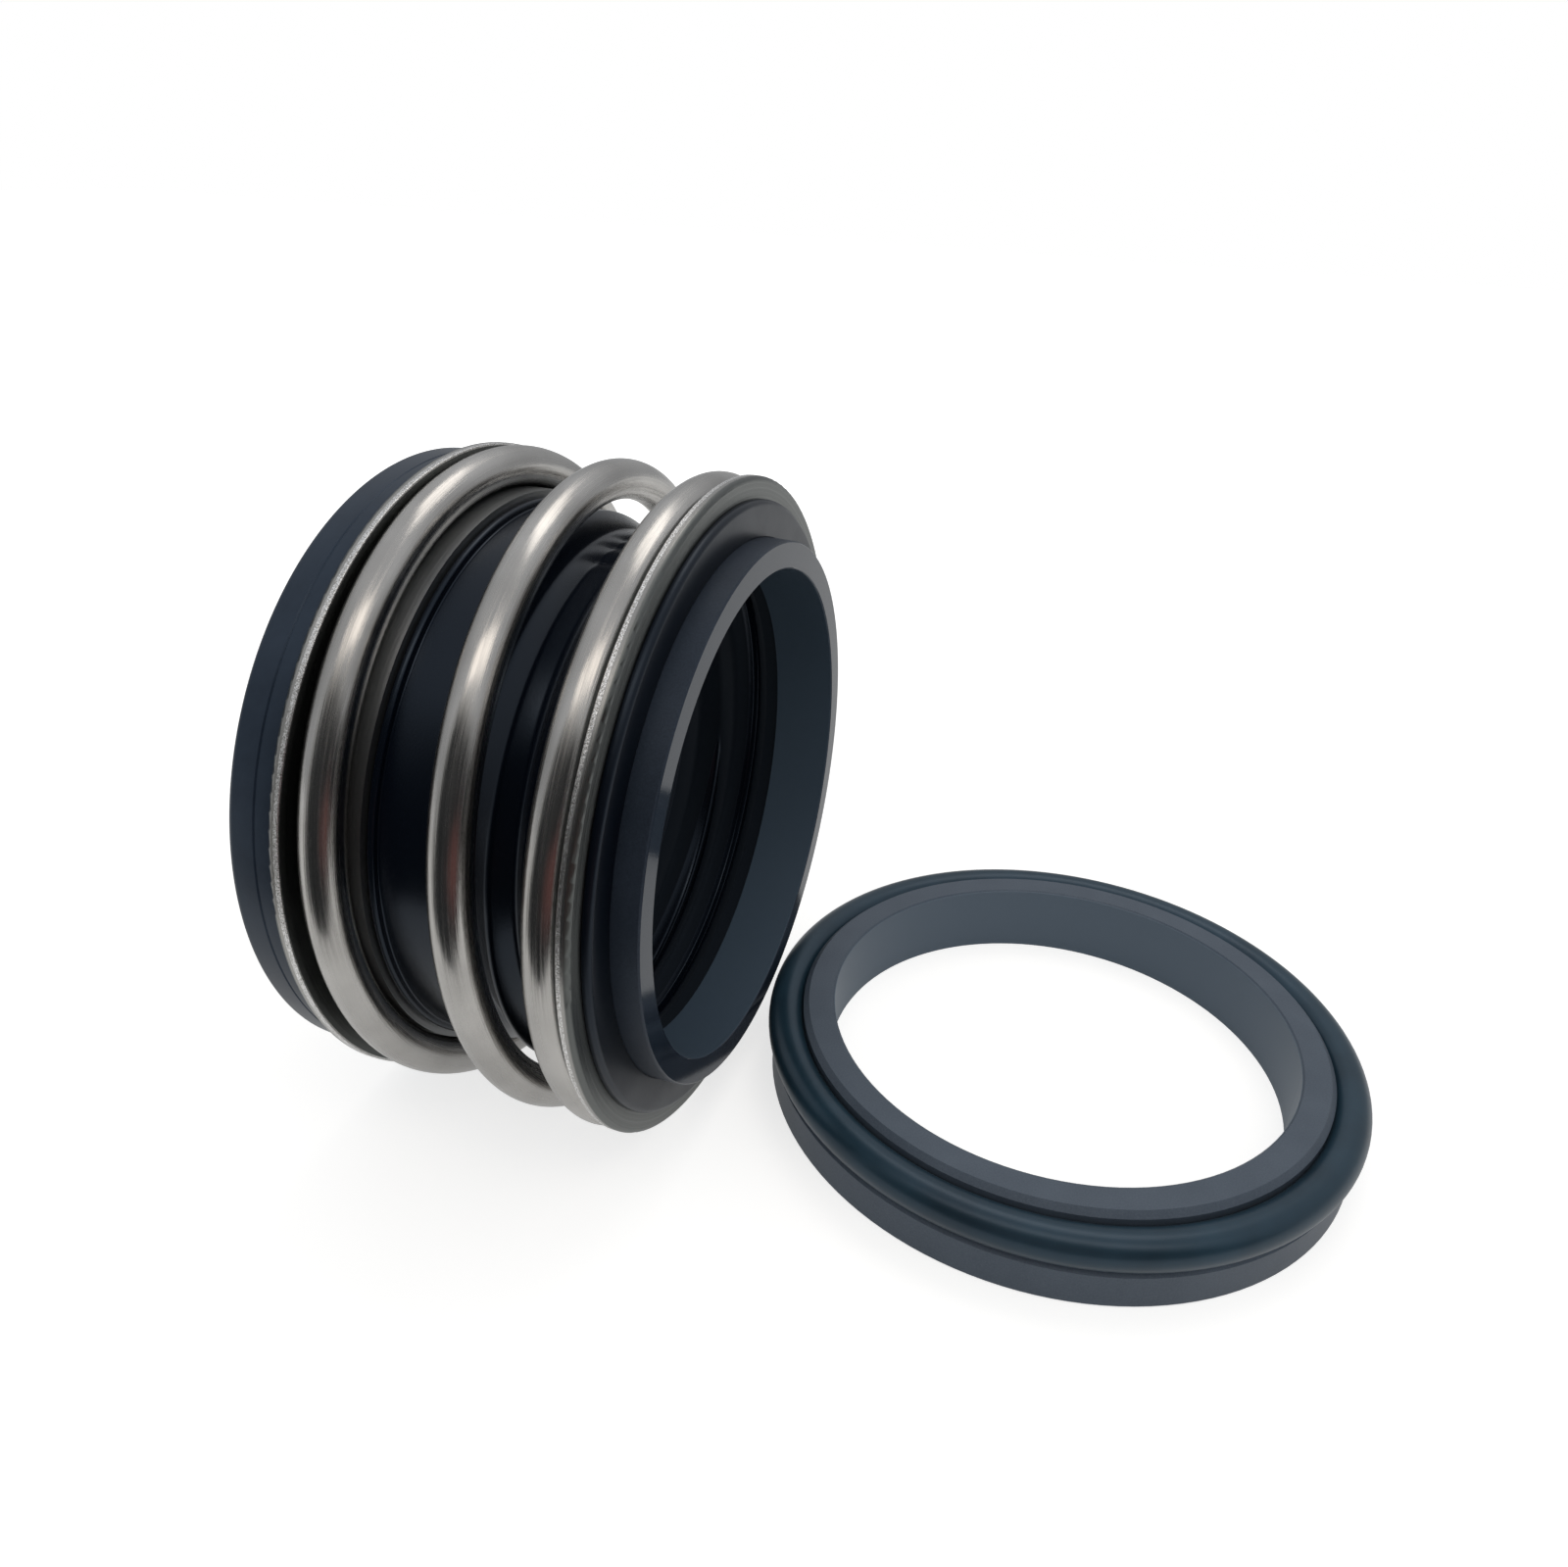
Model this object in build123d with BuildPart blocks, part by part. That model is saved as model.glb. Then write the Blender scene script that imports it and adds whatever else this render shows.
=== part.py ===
import os
from math import cos, radians, sin

from build123d import *

# A rubber bellows shaft seal as it comes out of its box. The rotary head lies on its side with its
# axis along X and its tail end in the plane X = 0, and the seat lies flat beside it. Millimetres.

# Shaft and rubber tail
shaft_diameter = 58.0
bore_grip = 0.3
tail_wall = 4.25
tail_width = 6.0
tail_corner = 0.8
tail_setback = 1.3
mould_seam = 3.4
mould_seam_width = 0.3
mould_seam_depth = 0.12

# L section rings, pressed from sheet: one tool makes both
ring_stock = 1.4
ring_length = 7.4
ring_bend = 0.6
ring_die_roll = 0.6
ring_burr_edge = 0.1

# Spring wire and how it sits in its two rings
wire_diameter = 4.6
wire_play = 0.05
flange_overhang = 0.05
tail_tip_angle = -60.0
tail_rise_angle = 95.0
face_rest_angle = 862.0
face_tip_angle = 1020.0
coil_step = 30.0
path_bend_share = 0.97

# Where the open wire stands between its closed ends: angle round the axis, share of the free gap
coil_stations = (
    (180.0, 0.050),
    (225.0, 0.104),
    (270.0, 0.182),
    (315.0, 0.280),
    (360.0, 0.372),
    (405.0, 0.450),
    (450.0, 0.512),
    (540.0, 0.620),
    (630.0, 0.745),
    (720.0, 0.866),
    (800.0, 0.965),
)

# Head length and the rubber in front of the tail
free_length = 43.6
bead_width = 0.9
bead_height = 0.65
bead_gap = 0.1
bellows_wall = 1.7
fold_clearance = 0.3
fold_rise = 1.3
fold_bend = 1.2
barrel_drop = 0.15
lip_thickness = 0.95
lip_setback = 2.5
lip_round = 0.7
cup_floor = 1.8
cup_floor_relief = 0.35

# The rolling fold's corners, measured back from where the cup starts
fold_start = 11.8
fold_back_valley = 8.26
fold_middle = 5.43
fold_front_valley = 2.6
fold_end = 0.71

# Seal face ring
face_clearance = 0.4
face_nose_wall = 3.15
face_nose_length = 3.15
face_nose_chamfer = 0.2
face_body_wall = 1.75
face_body_length = 3.8
face_nose_depth = 1.0
face_bore_chamfer = 0.15

# Stationary seat ring and its O-ring
seat_clearance = 1.3
seat_height = 10.0
seat_spigot_wall = 4.15
seat_flange_width = 3.75
seat_flange_height = 5.0
seat_root_radius = 0.5
seat_spigot_chamfer = 0.7
seat_flange_chamfer = 0.4
seat_lapped_chamfer = 0.25
o_ring_cord = 4.7
o_ring_squeeze = 0.15

# How the seat lies beside the head: its O-ring reaches a little under the nose of the seal face,
# and its centre is off the head's axis
seat_tuck = 0.2
seat_y = 15.6

# Radii worked out from the shaft outwards
bore_radius = shaft_diameter / 2 - bore_grip / 2
sleeve_inner = bore_radius + tail_wall
sleeve_outer = sleeve_inner + ring_stock
wire_radius = wire_diameter / 2
coil_radius = sleeve_outer + wire_play + wire_radius
flange_radius = coil_radius + wire_radius + flange_overhang
tail_radius = flange_radius - tail_setback
lip_radius = flange_radius - lip_setback
face_bore = shaft_diameter / 2 + face_clearance
face_nose_radius = face_bore + face_nose_wall
face_body_radius = face_bore + face_body_wall
outer_bend = ring_bend + ring_stock
bend_centre_radius = sleeve_inner + outer_bend

# Places along the shaft
lip_front = free_length - face_nose_length
face_flange_front = lip_front - lip_thickness
face_flange_back = face_flange_front - ring_stock
tail_sleeve_end = tail_width + ring_length
face_sleeve_end = face_flange_front - ring_length
tail_coil_x = tail_width + ring_stock + wire_radius
face_coil_x = face_flange_back - wire_radius
nose_step_x = lip_front - face_nose_depth
face_back = nose_step_x - face_body_length

# The floor that both flanges and the seat lie on
floor_z = -flange_radius

# How far the middle of a quarter arc lies from its centre, across and up, as a share of its radius
quarter_middle = cos(radians(45))

os.makedirs("parts", exist_ok=True)


def l_ring_profile(back, direction):
    """Half section of the L ring: back is the rubber side of its flange, direction is where its
    sleeve runs along X."""
    front = back + direction * ring_stock
    end = back + direction * ring_length
    centre_x = back + direction * outer_bend
    with BuildSketch(Plane.XZ) as profile:
        with BuildLine():
            Polyline(
                (centre_x, sleeve_inner),
                (end, sleeve_inner),
                (end, sleeve_outer),
                (centre_x, sleeve_outer),
            )
            ThreePointArc(
                (centre_x, sleeve_outer),
                (
                    centre_x - direction * ring_bend * quarter_middle,
                    bend_centre_radius - ring_bend * quarter_middle,
                ),
                (front, bend_centre_radius),
            )
            Polyline(
                (front, bend_centre_radius),
                (front, flange_radius),
                (back, flange_radius),
                (back, bend_centre_radius),
            )
            ThreePointArc(
                (back, bend_centre_radius),
                (
                    centre_x - direction * outer_bend * quarter_middle,
                    bend_centre_radius - outer_bend * quarter_middle,
                ),
                (centre_x, sleeve_inner),
            )
        make_face()
    return profile.sketch


# L ring at the tail, its sleeve running forward under the first turn of wire. Blanking leaves the
# flange's rim rolled over on the rubber side and nearly sharp on the other.
with BuildPart() as tail_l_ring:
    add(l_ring_profile(tail_width, 1))
    revolve(axis=Axis.X)
    rims = tail_l_ring.edges().filter_by(GeomType.CIRCLE).group_by(SortBy.RADIUS)[-1].sort_by(Axis.X)
    fillet(rims[0], ring_die_roll)
    chamfer(rims[-1], ring_burr_edge)
tail_l_ring.part.label = "tail_l_ring"

# The same ring turned round behind the seal face
with BuildPart() as face_l_ring:
    add(l_ring_profile(face_flange_front, -1))
    revolve(axis=Axis.X)
    rims = face_l_ring.edges().filter_by(GeomType.CIRCLE).group_by(SortBy.RADIUS)[-1].sort_by(Axis.X)
    chamfer(rims[0], ring_burr_edge)
    fillet(rims[-1], ring_die_roll)
face_l_ring.part.label = "face_l_ring"


def coil_x(angle):
    """Place of the wire's centre along the shaft at an angle: closed at both ends, and eased
    through the stations between them."""
    knots = [(tail_rise_angle, 0.0), *coil_stations, (face_rest_angle, 1.0)]
    if angle <= tail_rise_angle:
        return tail_coil_x
    if angle >= face_rest_angle:
        return face_coil_x
    slopes = [0.0]
    for before, after in zip(knots[:-2], knots[2:]):
        slopes.append((after[1] - before[1]) / (after[0] - before[0]))
    slopes.append(0.0)
    index = max(i for i, knot in enumerate(knots) if knot[0] <= angle)
    index = min(index, len(knots) - 2)
    span = knots[index + 1][0] - knots[index][0]
    t = (angle - knots[index][0]) / span
    share = (
        (1 + 2 * t) * (1 - t) ** 2 * knots[index][1]
        + t * (1 - t) ** 2 * span * slopes[index]
        + t * t * (3 - 2 * t) * knots[index + 1][1]
        + t * t * (t - 1) * span * slopes[index + 1]
    )
    return tail_coil_x + share * (face_coil_x - tail_coil_x)


# The wire's path is a chain of short tangent arcs that touches the coil's radius, so its corner
# points stand a little outside that radius
corner_radius = coil_radius / cos(radians(coil_step / 2))
path_bend_radius = coil_radius * path_bend_share
corner_count = round((face_tip_angle - tail_tip_angle) / coil_step) + 1
corner_angles = [tail_tip_angle + coil_step * i for i in range(corner_count)]
coil_corners = [
    (
        coil_x(angle),
        corner_radius * cos(radians(angle)),
        corner_radius * sin(radians(angle)),
    )
    for angle in corner_angles
]

# Right-hand wound spring, its ends closed flat on the flanges of the two rings
with BuildPart() as coil_spring:
    with BuildLine() as wire_path:
        FilletPolyline(*coil_corners, radius=path_bend_radius)
    wire_line = wire_path.wires()[0]
    with BuildSketch(Plane(origin=wire_line @ 0, x_dir=(1, 0, 0), z_dir=wire_line % 0)):
        Circle(wire_radius)
    sweep(path=wire_line)
coil_spring.part.label = "coil_spring"

# Radii and places of the thin bellows wall between the tail and the cup
bead_start = tail_sleeve_end + bead_gap
bead_end = bead_start + bead_width
bead_radius = sleeve_inner + bead_height
fold_root = shaft_diameter / 2 + fold_clearance + bellows_wall
fold_crest = fold_root + fold_rise
barrel_radius = sleeve_inner - barrel_drop
cup_start = face_sleeve_end - bead_gap
cup_floor_bore = face_bore + cup_floor_relief
fold_outer = [
    (cup_start - fold_start, barrel_radius),
    (cup_start - fold_back_valley, fold_root),
    (cup_start - fold_middle, fold_crest),
    (cup_start - fold_front_valley, fold_root),
    (cup_start - fold_end, sleeve_inner),
]
fold_inner = [(x, radius - bellows_wall) for x, radius in reversed(fold_outer)]

# Rubber bellows in one moulding: tail, barrel, fold, cup and lip
with BuildPart() as bellows:
    with BuildSketch(Plane.XZ):
        with BuildLine():
            # Tail disc with the fine groove where its mould parts, and the seat of the tail ring
            Polyline(
                (0, bore_radius),
                (0, tail_radius),
                (mould_seam - mould_seam_width / 2, tail_radius),
                (mould_seam, tail_radius - mould_seam_depth),
                (mould_seam + mould_seam_width / 2, tail_radius),
                (tail_width, tail_radius),
                (tail_width, bend_centre_radius),
            )
            ThreePointArc(
                (tail_width, bend_centre_radius),
                (
                    tail_width + outer_bend * (1 - quarter_middle),
                    bend_centre_radius - outer_bend * quarter_middle,
                ),
                (tail_width + outer_bend, sleeve_inner),
            )
            # Bead that keeps the tail ring from sliding off
            Line((tail_width + outer_bend, sleeve_inner), (bead_start, sleeve_inner))
            Line((bead_start, sleeve_inner), (bead_start, bead_radius - bead_width / 2))
            ThreePointArc(
                (bead_start, bead_radius - bead_width / 2),
                ((bead_start + bead_end) / 2, bead_radius),
                (bead_end, bead_radius - bead_width / 2),
            )
            Line((bead_end, bead_radius - bead_width / 2), (bead_end, barrel_radius))
            # Barrel, rolling fold and the cup under the face ring's sleeve
            FilletPolyline(
                (bead_end, barrel_radius),
                *fold_outer,
                (face_flange_front - outer_bend, sleeve_inner),
                radius=fold_bend,
            )
            ThreePointArc(
                (face_flange_front - outer_bend, sleeve_inner),
                (
                    face_flange_front - outer_bend * (1 - quarter_middle),
                    bend_centre_radius - outer_bend * quarter_middle,
                ),
                (face_flange_front, bend_centre_radius),
            )
            # Lip in front of the flange, then the pocket that holds the seal face ring
            Polyline(
                (face_flange_front, bend_centre_radius),
                (face_flange_front, lip_radius),
                (lip_front - lip_round, lip_radius),
            )
            ThreePointArc(
                (lip_front - lip_round, lip_radius),
                (
                    lip_front - lip_round * (1 - quarter_middle),
                    lip_radius - lip_round * (1 - quarter_middle),
                ),
                (lip_front, lip_radius - lip_round),
            )
            Polyline(
                (lip_front, lip_radius - lip_round),
                (lip_front, face_nose_radius),
                (nose_step_x, face_nose_radius),
                (nose_step_x, face_body_radius),
                (face_back, face_body_radius),
                (face_back, cup_floor_bore),
                (face_back - cup_floor, cup_floor_bore),
                (cup_start, sleeve_inner - bellows_wall),
            )
            # Inside of the fold and barrel, and the bore that grips the shaft
            FilletPolyline(
                (cup_start, sleeve_inner - bellows_wall),
                *fold_inner,
                (bead_end, barrel_radius - bellows_wall),
                radius=fold_bend,
            )
            Polyline(
                (bead_end, barrel_radius - bellows_wall),
                (tail_sleeve_end, bore_radius),
                (0, bore_radius),
            )
        make_face()
    revolve(axis=Axis.X)
    tail_back_edges = bellows.edges().filter_by(GeomType.CIRCLE).group_by(Axis.X)[0]
    fillet(tail_back_edges.sort_by(SortBy.RADIUS)[-1], tail_corner)
bellows.part.label = "bellows"

# Seal face ring: a narrow lapped nose on a thinner body that the rubber cup holds
with BuildPart() as seal_face:
    with BuildSketch(Plane.XZ):
        with BuildLine():
            Polyline(
                (face_back, face_bore),
                (face_back, face_body_radius),
                (nose_step_x, face_body_radius),
                (nose_step_x, face_nose_radius),
                (free_length - face_nose_chamfer, face_nose_radius),
                (free_length, face_nose_radius - face_nose_chamfer),
                (free_length, face_bore + face_bore_chamfer),
                (free_length - face_bore_chamfer, face_bore),
                (face_back, face_bore),
            )
        make_face()
    revolve(axis=Axis.X)
seal_face.part.label = "seal_face"

# Radii and heights of the seat and its O-ring
seat_bore = shaft_diameter / 2 + seat_clearance
seat_spigot_radius = seat_bore + seat_spigot_wall
seat_flange_radius = seat_spigot_radius + seat_flange_width
seat_flange_top = floor_z + seat_flange_height
seat_top = floor_z + seat_height
cord_radius = o_ring_cord / 2
cord_centre = (
    seat_spigot_radius + cord_radius - o_ring_squeeze,
    seat_flange_top + cord_radius - o_ring_squeeze,
)

# The seat's own place, just past the end of the head
seat_x = free_length + cord_centre[0] + cord_radius - seat_tuck
seat_axis = Axis((seat_x, seat_y, 0), (0, 0, 1))
seat_section = Plane(origin=(seat_x, seat_y, 0), x_dir=(1, 0, 0), z_dir=(0, -1, 0))

# Seat ring, its wide lapped face down and its spigot up
with BuildPart() as seat_ring:
    with BuildSketch(seat_section):
        with BuildLine():
            Polyline(
                (seat_bore, floor_z),
                (seat_flange_radius - seat_lapped_chamfer, floor_z),
                (seat_flange_radius, floor_z + seat_lapped_chamfer),
                (seat_flange_radius, seat_flange_top - seat_flange_chamfer),
                (seat_flange_radius - seat_flange_chamfer, seat_flange_top),
                (seat_spigot_radius + seat_root_radius, seat_flange_top),
            )
            ThreePointArc(
                (seat_spigot_radius + seat_root_radius, seat_flange_top),
                (
                    seat_spigot_radius + seat_root_radius * (1 - quarter_middle),
                    seat_flange_top + seat_root_radius * (1 - quarter_middle),
                ),
                (seat_spigot_radius, seat_flange_top + seat_root_radius),
            )
            Polyline(
                (seat_spigot_radius, seat_flange_top + seat_root_radius),
                (seat_spigot_radius, seat_top - seat_spigot_chamfer),
                (seat_spigot_radius - seat_spigot_chamfer, seat_top),
                (seat_bore + seat_lapped_chamfer, seat_top),
                (seat_bore, seat_top - seat_lapped_chamfer),
                (seat_bore, floor_z),
            )
        make_face()
    revolve(axis=seat_axis)
seat_ring.part.label = "seat_ring"

# O-ring stretched over the spigot, pressed a little flat where it meets the wall and the flange
with BuildPart() as seat_o_ring:
    with BuildSketch(seat_section):
        with Locations(cord_centre):
            Circle(cord_radius)
            Rectangle(o_ring_cord, o_ring_cord, mode=Mode.INTERSECT)
        with Locations((seat_spigot_radius, seat_flange_top)):
            Rectangle(2 * o_ring_cord, 2 * o_ring_cord, align=(Align.MIN, Align.MIN), mode=Mode.INTERSECT)
    revolve(axis=seat_axis)
seat_o_ring.part.label = "seat_o_ring"

export_step(tail_l_ring.part, "parts/tail_l_ring.step")
export_step(face_l_ring.part, "parts/face_l_ring.step")
export_step(coil_spring.part, "parts/coil_spring.step")
export_step(bellows.part, "parts/bellows.step")
export_step(seal_face.part, "parts/seal_face.step")
export_step(seat_ring.part, "parts/seat_ring.step")
export_step(seat_o_ring.part, "parts/seat_o_ring.step")
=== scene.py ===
from math import ceil, cos, pi, radians, sin, tan

import bpy
from mathutils import Matrix, Quaternion, Vector


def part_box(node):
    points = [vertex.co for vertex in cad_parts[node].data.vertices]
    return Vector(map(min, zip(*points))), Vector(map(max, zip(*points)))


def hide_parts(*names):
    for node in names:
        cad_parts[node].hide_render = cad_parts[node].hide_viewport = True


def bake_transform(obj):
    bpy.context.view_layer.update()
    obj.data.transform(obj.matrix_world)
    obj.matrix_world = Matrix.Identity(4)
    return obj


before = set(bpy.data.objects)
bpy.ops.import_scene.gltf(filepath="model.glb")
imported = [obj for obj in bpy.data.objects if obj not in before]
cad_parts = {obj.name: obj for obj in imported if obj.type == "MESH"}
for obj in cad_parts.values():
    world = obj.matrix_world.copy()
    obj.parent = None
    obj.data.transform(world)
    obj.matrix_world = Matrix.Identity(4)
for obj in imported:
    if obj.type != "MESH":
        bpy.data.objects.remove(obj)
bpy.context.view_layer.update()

# A rubber bellows shaft seal as it comes out of its box: the rotary head on its side, and the
# stationary seat flat beside it. The seal's sizes are in millimetres here and those of the studio in
# metres, in which Blender works.
MM = 0.001

# Boxes of the pieces in the frame
coil_low, coil_high = (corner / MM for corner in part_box("coil_spring"))
tail_ring_low, tail_ring_high = (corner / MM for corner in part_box("tail_l_ring"))
face_ring_low, face_ring_high = (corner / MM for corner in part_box("face_l_ring"))
face_low, face_high = (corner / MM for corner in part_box("seal_face"))
rubber_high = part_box("bellows")[1] / MM
seat_low, seat_high = (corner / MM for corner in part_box("seat_ring"))
floor_z = tail_ring_low.z
seat_centre = (seat_low + seat_high) / 2

# Spring wire, and where its open turns stand: angle round the axis, share of the free gap
wire_radius = 2.3
tail_tip_angle = -60.0
tail_rise_angle = 95.0
face_rest_angle = 862.0
face_tip_angle = 1020.0
coil_stations = (
    (180.0, 0.050),
    (225.0, 0.104),
    (270.0, 0.182),
    (315.0, 0.280),
    (360.0, 0.372),
    (405.0, 0.450),
    (450.0, 0.512),
    (540.0, 0.620),
    (630.0, 0.745),
    (720.0, 0.866),
    (800.0, 0.965),
)
coil_radius = coil_high.z - wire_radius
tail_coil_x = coil_low.x + wire_radius
face_coil_x = coil_high.x - wire_radius

# L section rings, and the bands that blanking leaves across the edge of their sheet
ring_stock = 1.4
ring_bend = 0.6
torn_width = 0.5
burnish_width = 0.3
sheared_depth = 0.3
flange_radius = tail_ring_high.z
tail_width = tail_ring_low.x
tail_sleeve_end = tail_ring_high.x
face_sleeve_end = face_ring_low.x
face_flange_front = face_ring_high.x
outer_bend = ring_bend + ring_stock

# Bores of the three pieces that the shaft passes through
rubber_bore = 28.85
face_bore = 29.4
seat_bore = 30.3

# Rubber tail and its bead
tail_wall = 4.25
tail_corner = 0.8
mould_seam = 3.4
mould_seam_width = 0.3
mould_seam_depth = 0.12
bead_gap = 0.1
bead_width = 0.9
bead_height = 0.65
tail_radius = rubber_high.z
sleeve_inner = rubber_bore + tail_wall
bead_start = tail_sleeve_end + bead_gap
bead_end = bead_start + bead_width
bead_radius = sleeve_inner + bead_height

# Rolling fold: how far each corner lies back from the cup, and its outer radius
bellows_wall = 1.7
fold_bend = 1.2
barrel_radius = sleeve_inner - 0.15
fold_root = 31.0
fold_crest = 32.3
fold_crest_back = 5.43
fold_reach = 2.83
cup_start = face_sleeve_end - bead_gap
fold_corners = (
    (11.8, barrel_radius),
    (fold_crest_back + fold_reach, fold_root),
    (fold_crest_back, fold_crest),
    (fold_crest_back - fold_reach, fold_root),
    (0.71, sleeve_inner),
)

# The loose fold hangs low under its own weight and is creased near its top
fold_low_at_top = 1.0
fold_low_at_bottom = 1.9
crease_angles = (88.0, 94.0, 101.5)
crease_reach = 5.2
crease_depth = 0.35

# Cup and lip round the seal face, and the roundings of the rubber's other edges
lip_setback = 2.5
lip_round = 0.7
cup_floor = 1.8
cup_bore = 29.75
face_body_radius = 31.15
nose_depth = 1.0
sharp_round = 0.1
edge_round = 0.3
bead_round = 0.4
bead_root_round = 0.2
lip_front = rubber_high.x
lip_radius = flange_radius - lip_setback
nose_radius = face_high.z
nose_step_x = lip_front - nose_depth
face_back = face_low.x


def linear(hex_colour):
    """sRGB hex to the linear colour that a shader takes."""
    values = [int(hex_colour[i : i + 2], 16) / 255 for i in (1, 3, 5)]
    return [v / 12.92 if v <= 0.04045 else ((v + 0.055) / 1.055) ** 2.4 for v in values] + [1.0]


def add(tree, kind, links=None, **settings):
    """One shader node with its settings, and its inputs linked or set by name or number. A Mix node
    takes numbers at inputs 2 and 3, and colours at inputs 6 and 7, which come out at output 2."""
    made = tree.nodes.new("ShaderNode" + kind)
    for name, value in settings.items():
        setattr(made, name, value)
    for name, value in (links or {}).items():
        socket = made.inputs[name]
        if isinstance(value, bpy.types.NodeSocket):
            tree.links.new(value, socket)
        else:
            socket.default_value = value
    return made


def new_material(name):
    """An empty material and its node tree."""
    made = bpy.data.materials.new(name)
    made.use_nodes = True
    made.node_tree.nodes.clear()
    return made, made.node_tree


def place_in_mm(tree):
    """Place in the frame, in millimetres."""
    place = add(tree, "TexCoord").outputs["Object"]
    return add(tree, "VectorMath", {0: place, "Scale": 1 / MM}, operation="SCALE").outputs["Vector"]


def distance_from_axis(tree, place, centre, across):
    """Distance of a place from the axis through a centre; across is 1 in the directions off it."""
    off = add(tree, "VectorMath", {0: place, 1: centre}, operation="SUBTRACT").outputs["Vector"]
    flat = add(tree, "VectorMath", {0: off, 1: across}, operation="MULTIPLY").outputs["Vector"]
    return add(tree, "VectorMath", {0: flat}, operation="LENGTH").outputs["Value"]


# Axes of the head and of the seat: a place on each, and 1 in the directions across it
shaft_axis = ((0.0, 0.0, 0.0), (0.0, 1.0, 1.0))
seat_axis = (tuple(seat_centre), (1.0, 1.0, 0.0))


def drawn_stainless_wire():
    """Bright drawn stainless spring wire. The fine lines that the die left along it spread each
    highlight into fingers, and faint stains keep its greys from looking even."""
    material, tree = new_material("drawn_stainless_wire")
    # Real die lines are about 0.02 mm wide, too fine to show, so they are drawn wider
    line_width, line_length = 0.3, 20.0
    line_depth = 0.04
    stain_size = 12.0
    bright_roughness, lined_roughness = 0.12, 0.34
    # The attribute is the place on the wire as it was before coiling, in millimetres
    place = add(tree, "Attribute", attribute_name="straight_wire").outputs["Vector"]
    line_scale = (1 / line_length, 1 / line_width, 1 / line_width)
    along = add(tree, "Mapping", {"Vector": place, "Scale": line_scale}).outputs["Vector"]
    lines = add(tree, "TexNoise", {"Vector": along, "Scale": 1.0, "Detail": 4.0, "Roughness": 0.7})
    stains = add(tree, "TexNoise", {"Vector": place, "Scale": 1 / stain_size, "Detail": 3.0})
    stained = add(
        tree, "MapRange", {"Value": stains.outputs["Fac"], "From Min": 0.35, "From Max": 0.65},
    )
    tint = add(
        tree, "Mix",
        {0: stained.outputs["Result"], 6: linear("#afadaa"), 7: linear("#c6c4c1")},
        data_type="RGBA",
    )
    dullness = add(
        tree, "MapRange",
        {
            "Value": lines.outputs["Fac"],
            "From Min": 0.3,
            "From Max": 0.7,
            "To Min": bright_roughness,
            "To Max": lined_roughness,
        },
    )
    relief = add(
        tree, "Bump",
        {"Height": lines.outputs["Fac"], "Strength": 0.6, "Distance": line_depth * MM},
    )
    metal = add(
        tree, "BsdfPrincipled",
        {
            "Base Color": tint.outputs[2],
            "Metallic": 1.0,
            "Roughness": dullness.outputs["Result"],
            "Normal": relief.outputs["Normal"],
        },
    )
    add(tree, "OutputMaterial", {"Surface": metal.outputs["BSDF"]})
    return material


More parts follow.
